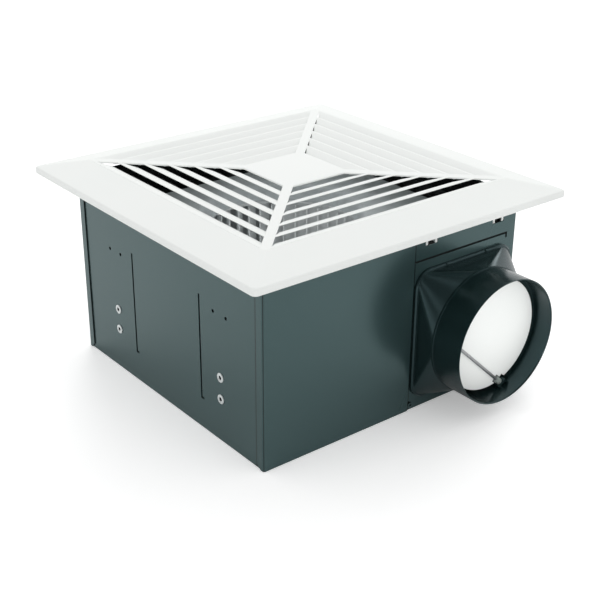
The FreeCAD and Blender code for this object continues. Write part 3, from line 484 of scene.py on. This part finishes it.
def wheel_blade(inner_r=62.0, tip_r=74.5, lead=9.0, wall=1.2, low=24.5, high=109.5, steps=8):
    """One blade of even wall about the wheel's axis, its tip bent towards the turn."""
    form = bmesh.new()
    stations = []
    for k in range(steps + 1):
        share = k / steps
        radius = inner_r + (tip_r - inner_r) * share
        angles = [-math.radians(lead) * share ** 2 + s * wall / 2 / radius for s in (1, -1)]
        stations.append([form.verts.new((radius * math.cos(a) * MM, radius * math.sin(a) * MM, z * MM))
                         for a, z in zip((angles[0], angles[0], angles[1], angles[1]),
                                         (low, high, high, low))])
    for here, there in zip(stations, stations[1:]):
        for j in range(4):
            form.faces.new((here[j], there[j], there[(j + 1) % 4], here[(j + 1) % 4]))
    form.faces.new(stations[0])
    form.faces.new(stations[-1])
    return sealed("wheel_blade", form)


def wheel_sheet():
    steel = Finish("wheel_sheet", Metallic=0.1)
    flake = steel.add("ShaderNodeTexVoronoi", {}, {"Vector": steel.place(), "Scale": 420.0}, "Distance")
    cloud = steel.noise(30, 3.0)
    colour = steel.mix(cloud * 0.7 + flake * 0.4, srgb(232, 236, 237), srgb(242, 245, 245))
    return steel.feed(steel.noise(800, 2.0), 0.01, Base_Color=colour, Roughness=0.4 + 0.2 * cloud)


wheel_steel = wheel_sheet()
for wheel_node in ("wheel_plate", "wheel_ring"):
    dressed(wheel_node, "rotor", "wheel_steel", wheel_steel, 0.3)
blade_count = 38
blade_ring = Pattern("blade_ring", Blades=blade_count, Turn_step=2 * math.pi / blade_count,
                     Axis=(WHEEL_X * MM, 0.0, 0.0))
standing = blade_ring.add("GeometryNodeTransform", {}, {
    "Geometry": blade_ring.turned(blade_ring.size("Unit"), blade_ring.size("Blades")),
    "Translation": blade_ring.size("Axis")})
eased(fitted("wheel_blades_dressed", blade_ring.grow(wheel_blade(), standing, wheel_steel), "rotor",
             "wheel_steel", wheel_steel, "wheel_blades"), 0.15)
ground_steel = plated_steel("ground_steel", (186, 188, 190), 0.22)
dressed("motor_shaft", "rotor", "rod_steel", ground_steel, 0.3)
dressed("hub_nut", "rotor", "fastener_steel", zinc_plate, 0.4)

# ---------------------------------------------------------------------------------------------------
# Wiring: a moulded terminal box by the cable inlet holds a three-way screw block; a sheathed lead runs
# from it along the wall and through the scroll to the motor. The run capacitor is screwed to the tray.


def moulded(name, pale, deep, roughness, shine=0.5, grain=0.012, glint=(255, 255, 255)):
    """Injection-moulded plastic: a faint cloud in the colour and a fine spark-eroded grain, in mm."""
    plastic = Finish(name, Specular_IOR_Level=shine, Specular_Tint=srgb(*glint))
    cloud = plastic.noise(16, 3.0)
    return plastic.feed(plastic.noise(1400, 2.0), grain, Roughness=roughness + 0.08 * cloud,
                        Base_Color=plastic.mix(cloud, srgb(*pale), srgb(*deep)))


box_plastic = moulded("box_plastic", (40, 43, 43), (32, 35, 35), 0.42)
for box_node in ("terminal_box", "terminal_cover"):
    dressed(box_node, "housing", "box_plastic", box_plastic, 0.4)
dressed("terminal_block", "housing", "block_plastic",
        moulded("block_plastic", (232, 226, 206), (222, 214, 190), 0.38), 0.3)
dressed("capacitor", "housing", "capacitor_case",
        moulded("capacitor_case", (212, 213, 206), (200, 201, 194), 0.34), 0.6)
for rubber_node in ("cable_grommet", "lead_grommet", "motor_lead"):
    dressed(rubber_node, "housing", "rubber_black", black_rubber, 0.4)

# ---------------------------------------------------------------------------------------------------
# Screws: zinc-plated pan heads with a cross recess and rolled threads. Two, painted over, show at the
# foot of the outlet panel; the rest hold the adaptor, the motor, the terminal cover and the capacitor.


def pan_screw(radius, head_r, length, steps=64):
    """One screw along Z in mm: head above zero, threaded shank below."""
    height, dome, pole_r = 1.6, 0.18, 0.02
    arm_width, arm_reach, recess, side_fade, end_fade = 0.16 * head_r, 0.62 * head_r, 0.95, 0.35, 0.25
    pitch, crest, neck, point = 0.55, 0.16, 0.2, 0.6
    shoulder = ((0.88, 0.24), (0.97, 0.5), (1.0, 0.9))
    radii = [pole_r] + [head_r * k / 14 for k in range(1, 12)]
    outline = [(r, height - dome * (r / head_r) ** 2) for r in radii]
    outline += [(share * head_r, height - drop) for share, drop in shoulder]
    outline += [(head_r, 0.0), (radius, 0.0)]
    turns = int((length - point) / pitch)
    outline += [(radius - (crest if k % 2 else 0), -neck - k * pitch / 2) for k in range(2 * turns)]
    outline += [(0.5 * radius, -length), (pole_r, -length)]
    form = bmesh.new()
    rings = []
    for k in range(steps):
        a = 2 * math.pi * k / steps
        ring = []
        for i, (r, z) in enumerate(outline):
            if i < len(radii):
                across = min(abs(r * math.sin(a)), abs(r * math.cos(a)))
                along = max(abs(r * math.sin(a)), abs(r * math.cos(a)))
                side = max(0.0, min(1.0, (arm_width - across) / (side_fade * arm_width) + 0.5))
                end = max(0.0, min(1.0, (arm_reach - along) / (end_fade * arm_reach)))
                z -= recess * side * end
            ring.append(form.verts.new((r * math.cos(a) * MM, r * math.sin(a) * MM, z * MM)))
        rings.append(ring)
    for ring, following in zip(rings, rings[1:] + rings[:1]):
        for i in range(len(outline) - 1):
            form.faces.new((ring[i], following[i], following[i + 1], ring[i + 1]))
    form.faces.new([ring[0] for ring in rings])
    form.faces.new([ring[-1] for ring in rings])
    return sealed("pan_screw", form)


SCREW_SETS = (  # node, shank r, head r, length, span, count, turn, place
    ("adapter_screws", 1.3, 2.2, 3.0, (60, 105), (2, 2), (90, 0, -90), (123, 68, 63.5)),
    ("motor_screws", 1.4, 2.2, 3.0, (52.326, 52.326), (2, 2), (0, 0, 0), (WHEEL_X, 0, 29)),
    ("motor_feet_screws", 2.4, 4.2, 7.25, (76, 76), (2, 2), (0, 0, 0), (WHEEL_X, 0, 7.5)),
    ("terminal_screws", 1.3, 2.2, 12.0, (43.415, 1), (2, 1), (0, 0, -41.283), (-102.7, -103.7, 33)),
    ("capacitor_screw", 1.3, 2.2, 2.3, (1, 1), (1, 1), (0, 0, 0), (108, -38, 2.5)),
    ("panel_screws", 1.3, 2.2, 3.0, (100.8, 1), (2, 1), (90, 0, 90), (124, 68, 4.5)),
)
for screw_node, shank_r, head_r, length, span, count, turn, place in SCREW_SETS:
    slot, metal = "fastener_steel", zinc_plate
    if screw_node == "panel_screws":
        slot, metal = "housing_paint", painted_steel
    screws = in_rows(screw_node + "_rows", pan_screw(shank_r, head_r, length), metal,
                     span, count, turn, place)
    fitted(screw_node + "_dressed", screws, "housing", slot, metal, screw_node)

# ---------------------------------------------------------------------------------------------------
# Duct adaptor: one moulding in dark grey-green plastic, screwed to the outlet panel from inside. Its
# rimmed flange runs through flats and cones into a round collar, with lugs inside for the flap's rod.

adapter_plastic = moulded("adapter_plastic", (19, 33, 33), (16, 29, 29), 0.2, shine=0.65, grain=0.0006,
                          glint=(205, 247, 255))
dressed("outlet_adapter", "housing", "adapter_plastic", adapter_plastic, 0.18)

# ---------------------------------------------------------------------------------------------------
# Backflow flap: a thin white moulded disc that hangs on a drawn steel rod and swings open with the
# air. The rod is clipped in grooved plastic bushes, which are pressed into the collar's lugs.

flap_plastic = moulded("flap_plastic", (246, 248, 246), (242, 245, 243), 0.6, shine=0.1)
dressed("damper_flap", "damper", "flap_plastic", flap_plastic, 0.35)
dressed("damper_pin", "damper", "rod_steel", ground_steel, 0.3)


def rod_bush(outer_r=2.6, bore_r=1.3, length=7.5, chamfer=0.4):
    """Bush along Z with chamfered ends and two grooves, as a turned outline in mm."""
    grooves, depth, width, flank = (1.8, 4.2), 0.35, 1.0, 0.2
    outline = [(bore_r, 0), (outer_r - chamfer, 0), (outer_r, chamfer)]
    for start in grooves:
        outline += [(outer_r, start), (outer_r - depth, start + flank),
                    (outer_r - depth, start + width - flank), (outer_r, start + width)]
    outline += [(outer_r, length - chamfer), (outer_r - chamfer, length), (bore_r, length)]
    return revolved("rod_bush", outline, 32)


def bush_pair():
    """A bush at each of the rod's ends, facing outwards on the rod's tilted line."""
    tilt, start = 43.0, 34.06
    middle = Vector((158.85, 51.6321, 45.9475)) * MM
    along = Vector((0, math.cos(math.radians(tilt)), -math.sin(math.radians(tilt))))
    form = bmesh.new()
    for sign in (-1, 1):
        lie = (along * sign).to_track_quat("Z", "X").to_matrix().to_4x4()
        unit = rod_bush()
        unit.transform(Matrix.Translation(middle + along * sign * start * MM) @ lie)
        form.from_mesh(unit)
    return sealed("rod_bushes", form)


bush_plastic = moulded("bush_plastic", (150, 160, 156), (138, 148, 144), 0.25)
fitted("damper_bushes_dressed", bush_pair(), "housing", "bush_plastic", bush_plastic, "damper_bushes")

# ---------------------------------------------------------------------------------------------------
# Grille panel: one white moulding that snaps into the box. A sloped border surrounds four triangles of
# louvres, parted by diagonal bars that run to a plain square; ribs below seat it on the walls.

PANEL_HALF, LOUVRE_HALF, CENTRE_HALF = 150.0, 117.0, 30.6
PANEL_EDGE, PANEL_TOP, PANEL_WALL = 160.5, 168.0, 2.2
BAR_WIDTH, BAR_WALL = 7.7, 1.4
BAR_OFFSET = BAR_WIDTH / math.sqrt(2)


def square_loop(form, half, radius, z, steps=7):
    """Corner arcs of a rounded square in mm, one list of vertices for each corner, counter-clockwise."""
    loop = []
    for k, (sx, sy) in enumerate(((1, 1), (-1, 1), (-1, -1), (1, -1))):
        angles = [math.radians(90 * k + 90 * j / steps) for j in range(steps + 1)]
        loop.append([form.verts.new(((sx * (half - radius) + radius * math.cos(a)) * MM,
                                     (sy * (half - radius) + radius * math.sin(a)) * MM, z * MM))
                     for a in angles])
    return loop


def panel_sheet():
    """Outer face of the panel: rim, eased edge, sloped border, diagonal bars and centre square."""
    rim_foot, rim_r, rim_ease, inner_r = 155.0, 4.0, 0.8, 1.0
    form = bmesh.new()
    loops = [square_loop(form, half, radius, z) for half, radius, z in (
        (PANEL_HALF, rim_r, rim_foot), (PANEL_HALF, rim_r, PANEL_EDGE - rim_ease),
        (PANEL_HALF - rim_ease, rim_r, PANEL_EDGE), (LOUVRE_HALF, inner_r, PANEL_TOP))]
    far, near = LOUVRE_HALF - BAR_OFFSET, CENTRE_HALF - BAR_OFFSET
    windows = []
    for k in range(4):
        spin = Matrix.Rotation(math.radians(90 * k), 3, "Z")
        windows.append([form.verts.new(spin @ Vector((x * MM, y * MM, PANEL_TOP * MM)))
                        for x, y in ((far, LOUVRE_HALF), (-far, LOUVRE_HALF),
                                     (-near, CENTRE_HALF), (near, CENTRE_HALF))])
    for low, high in zip(loops, loops[1:]):
        for k in range(4):
            for j in range(len(low[k]) - 1):
                form.faces.new((low[k][j], low[k][j + 1], high[k][j + 1], high[k][j]))
            nxt = (k + 1) % 4
            corners = [low[k][-1], low[nxt][0], high[nxt][0]]
            corners += [windows[k][1], windows[k][0]] if high is loops[-1] else []
            form.faces.new(corners + [high[k][-1]])
    for k in range(4):
        before = windows[k - 1]
        form.faces.new(loops[-1][k] + [windows[k][0], windows[k][3], before[2], before[1]])
    form.faces.new([corner for k in range(4) for corner in (windows[k][3], windows[k][2])])
    bmesh.ops.recalc_face_normals(form, faces=form.faces)
    if max(form.faces, key=lambda f: f.calc_center_median().z).normal.z < 0:
        bmesh.ops.reverse_faces(form, faces=form.faces)
    mesh = bpy.data.meshes.new("panel_sheet")
    form.to_mesh(mesh)
    form.free()
    return mesh


def creased(made, *heights):
    """Keeps folds crisp: the piece's edges that lie level at these heights in mm are marked sharp."""
    level_within = 0.02
    corners = made.data.vertices
    for edge in made.data.edges:
        low, high = sorted(corners[i].co.z / MM for i in edge.vertices)
        if any(abs(low - height) + abs(high - height) < level_within for height in heights):
            edge.use_edge_sharp = True
    return made


def prism(name, outline, low=-1.0, high=1.0):
    """Closed bar along X with a (y, z) outline in mm."""
    form = bmesh.new()
    ends = [[form.verts.new((x * MM, y * MM, z * MM)) for y, z in outline] for x in (low, high)]
    for i in range(len(outline)):
        j = (i + 1) % len(outline)
        form.faces.new((ends[0][i], ends[0][j], ends[1][j], ends[1][i]))
    for end in ends:
        form.faces.new(end)
    return sealed(name, form)


def blade_outline(strip=1.8, reach=11.5, fall=20.0, wall=1.2, edge=0.5):
    """Louvre's section from its crest: a narrow level strip, then a face that falls to the centre."""
    fall = math.radians(fall)
    foot = (reach, -(reach - strip) * math.tan(fall))
    under = (foot[0] - wall * math.sin(fall), foot[1] - wall * math.cos(fall))
    middle = ((strip + foot[0]) / 2, foot[1] / 2)
    return [(0, 0), (strip, 0), middle, foot, under, (strip - wall * math.tan(fall / 2), -wall), (0, -edge)]


def louvre_field():
    """Six blades between two diagonals, their ends sunk in the bars, turned to the four sides."""
    sunk = 0.5
    field = Pattern("louvre_field", Blades=6, Pitch=14.4 * MM, Crest=LOUVRE_HALF * MM, Top=PANEL_TOP * MM,
                    Bar=(BAR_OFFSET - sunk) * MM, Trim_from=0.8 * MM, Trim=2.0, Trim_most=1.0 * MM,
                    Turn_step=math.pi / 2)
    spots = field.add("GeometryNodeMeshLine", {}, {
        "Count": field.size("Blades"), "Offset": field.vector(0.0, field.size("Pitch"), 0.0),
        "Start Location": field.vector(0.0, 0.0 - field.size("Crest"), field.size("Top"))})
    rows = field.add("GeometryNodeRealizeInstances", {}, {0: field.instances(spots, field.size("Unit"))})
    here = field.add("GeometryNodeInputPosition", {}, {})
    x, y, z = (field.add("ShaderNodeSeparateXYZ", {}, {0: here}, k) for k in range(3))
    fallen = field.add("ShaderNodeMath", {"operation": "MAXIMUM"},
                       {0: field.size("Top") - field.size("Trim_from") - z, 1: 0.0})
    trim = field.add("ShaderNodeMath", {"operation": "MINIMUM"},
                     {0: field.size("Trim") * fallen, 1: field.size("Trim_most")})
    reach = (field.add("ShaderNodeMath", {"operation": "SIGN"}, {0: x})
             * (0.0 - y - field.size("Bar") - trim))
    cut = field.add("GeometryNodeSetPosition", {}, {"Geometry": rows, "Position": field.vector(reach, y, z)})
    return field.grow(prism("louvre", blade_outline()), field.turned(cut, 4), panel_plastic)


def ribs_and_prongs():
    """Seat ribs under the border, and the pairs of prongs that hook into the box's notches."""
    rise = (PANEL_TOP - PANEL_EDGE) / (PANEL_HALF - LOUVRE_HALF)
    rib_in, rib_out, rib_foot, rib_edge, rib_half = 119.2, 148.9, 155.3, 159.4, 1.0
    prong_foot, prong_wall, prong_width = 136.8, 1.0, 2.0

    def inside_border(reach):
        """Height of the middle of the border's wall, at a distance from the panel's centre."""
        return PANEL_TOP - (reach - LOUVRE_HALF) * rise - PANEL_WALL / 2

    form = bmesh.new()
    rib = [(rib_in, rib_foot), (rib_out, rib_foot), (rib_out, rib_edge), (rib_in, inside_border(rib_in))]
    for k in range(4):
        for offset in (-70, 70):
            unit = prism("rib", rib, offset - rib_half, offset + rib_half)
            unit.transform(Matrix.Rotation(math.radians(90 * k), 4, "Z"))
            form.from_mesh(unit)
    for end, face in ((1, 124.0), (-1, 125.0)):
        back, top = face - prong_wall, inside_border(face)
        for notch in (32.3, 103.7):
            for edge in (-5.75, 3.75):
                start = notch + edge
                unit = prism("prong", [(back, prong_foot), (face, prong_foot), (face, top), (back, top)],
                             start, start + prong_width)
                unit.transform(Matrix(((0, end, 0, 0), (1, 0, 0, 0), (0, 0, 1, 0), (0, 0, 0, 1))))
                form.from_mesh(unit)
    return sealed("ribs_and_prongs", form)


panel_plastic = moulded("panel_plastic", (246, 248, 246), (243, 246, 244), 0.7, shine=0.1)
panel = creased(fitted("panel_frame", panel_sheet(), "grille", "panel_plastic", panel_plastic,
                       "grille_panel"), PANEL_EDGE, PANEL_TOP)
walls = panel.vertex_groups.new(name="wall_share")
for vertex in panel.data.vertices:
    inner = max(abs(vertex.co.x), abs(vertex.co.y)) < (LOUVRE_HALF + 0.1) * MM
    walls.add([vertex.index], BAR_WALL / PANEL_WALL if inner else 1.0, "REPLACE")
shell = panel.modifiers.new("wall", "SOLIDIFY")
shell.thickness, shell.offset, shell.use_even_offset = PANEL_WALL * MM, -1.0, True
shell.vertex_group = walls.name
eased(panel, 0.4, 3)
louvres = fitted("panel_louvres", louvre_field(), "grille", "panel_plastic", panel_plastic)
eased(creased(louvres, PANEL_TOP), 0.15, 3)
eased(fitted("panel_ribs", ribs_and_prongs(), "grille", "panel_plastic", panel_plastic), 0.25)

# ---------------------------------------------------------------------------------------------------
# Studio: a white floor and sky, a softbox and a back fill behind the fan, weak side and front fills,
# small glows behind the louvres and in the wheel's eye, and a narrow beam on the flap. The camera is
# the photograph's, 1 m away and about 25 degrees above the floor.


def kind_of_ray(graph, label):
    return graph.add("ShaderNodeLightPath", {}, {}, "Is %s Ray" % label)


def grey(graph, level):
    return graph.add("ShaderNodeCombineColor", {}, {0: level, 1: level, 2: level})


scene = bpy.context.scene
scene.view_settings.view_transform = "Standard"

ambient, ceiling_dark = 0.82, 0.85
ceiling_towards, ceiling_edge, ceiling_full = Vector((0.5, -0.4, 0.77)).normalized(), 0.45, 0.85
world = bpy.data.worlds.new("studio_sky")
world.use_nodes = True
sky = Graph(world.node_tree)
overhead = sky.add("ShaderNodeVectorMath", {"operation": "DOT_PRODUCT"},
                   {0: sky.add("ShaderNodeTexCoord", {}, {}, "Generated"), 1: ceiling_towards}, 1)
mirrored = 1 - ceiling_dark * sky.ease(overhead, ceiling_edge, ceiling_full)
shown = kind_of_ray(sky, "Camera") + kind_of_ray(sky, "Transmission")
sky_level = ambient + (1 - ambient) * shown + (mirrored - ambient) * kind_of_ray(sky, "Glossy")
background = sky.tree.nodes["Background"]
background.inputs["Strength"].default_value = 1.0
sky.tree.links.new(grey(sky, sky_level).socket, background.inputs["Color"])
scene.world = world

floor_size, floor_drop, floor_grey, floor_shown, floor_lift = 7.0, 0.3 * MM, 0.95, 1.0, 0.30
floor_mesh = bpy.data.meshes.new("floor")
floor_mesh.from_pydata([(sx * floor_size, sy * floor_size, -floor_drop)
                        for sx, sy in ((-1, -1), (1, -1), (1, 1), (-1, 1))], [], [(0, 1, 2, 3)])
floor = bpy.data.objects.new("floor", floor_mesh)
scene.collection.objects.link(floor)
floor_paint = bpy.data.materials.new("floor_paint")
floor_paint.use_nodes = True
ground = Graph(floor_paint.node_tree)
ground.tree.nodes.remove(ground.tree.nodes["Principled BSDF"])
seen = kind_of_ray(ground, "Camera")
tone = floor_grey + (floor_shown - floor_grey) * seen
matt = ground.add("ShaderNodeBsdfDiffuse", {}, {"Color": grey(ground, tone)})
lift = ground.add("ShaderNodeEmission", {}, {"Color": grey(ground, floor_lift * seen), "Strength": 1.0})
both = ground.add("ShaderNodeAddShader", {}, {0: matt, 1: lift})
ground.tree.links.new(both.socket, ground.tree.nodes["Material Output"].inputs["Surface"])
floor_mesh.materials.append(floor_paint)

def hang(lamp, target, towards, distance):
    """Puts a lamp at a distance in metres from its target in mm, and points it there."""
    towards = Vector(towards).normalized()
    made = bpy.data.objects.new(lamp.name, lamp)
    made.location = Vector(target) * MM + towards * distance
    made.rotation_euler = towards.to_track_quat("Z", "Y").to_euler()
    scene.collection.objects.link(made)


LAMPS = (  # name, its target in mm, where it stands as seen from there, its distance, width and power
    ("softbox", (0, 0, 0), (-0.72, 0.40, 0.56), 2.4, 1.0, 11.4),
    ("back_fill", (0, 0, 0), (-0.25, 0.80, 0.55), 2.4, 1.0, 5.3),
    ("side_fill", (0, 0, 0), (0.62, 0.05, 0.78), 2.0, 0.6, 0.5),
    ("front_fill", (0, 0, 0), (0.62, -0.62, 0.48), 2.4, 0.6, 0.6),
    ("plenum_glow", (0, 0, 0), (0.0, 0.0, 1.0), 0.15, 0.16, 0.008),
    ("eye_glow", (WHEEL_X, 0, 40), (0.0, 0.0, 1.0), 0.085, 0.09, 0.020),
)
for lamp_name, target, towards, distance, width, power in LAMPS:
    lamp = bpy.data.lights.new(lamp_name, "AREA")
    lamp.shape, lamp.size, lamp.energy = "DISK", width, power
    hang(lamp, target, towards, distance)
beam_target, beam_towards, beam_distance = (160, 76, 82), (0.88, -0.36, 0.12), 1.2
beam = bpy.data.lights.new("damper_beam", "SPOT")
beam.energy, beam.shadow_soft_size = 17.0, 0.035
beam.spot_size, beam.spot_blend = math.radians(6.0), 0.4
hang(beam, beam_target, beam_towards, beam_distance)

camera_place = Vector((696.77, -549.36, 476.92)) * MM
turn, tilt, roll = (math.radians(a) for a in (51.402, 25.523, 0.407))
level = Vector((math.cos(turn), math.sin(turn), 0))
back = Vector((math.sin(turn) * math.cos(tilt), -math.cos(turn) * math.cos(tilt), math.sin(tilt)))
upward = back.cross(level)
right = level * math.cos(roll) + upward * math.sin(roll)
upward = upward * math.cos(roll) - level * math.sin(roll)
camera = bpy.data.cameras.new("photo_camera")
camera.sensor_width, camera.lens = 36.0, 71.12
camera_object = bpy.data.objects.new("photo_camera", camera)
pose = Matrix((right, upward, back)).transposed().to_4x4()
pose.translation = camera_place
camera_object.matrix_world = pose
scene.collection.objects.link(camera_object)
scene.camera = camera_object
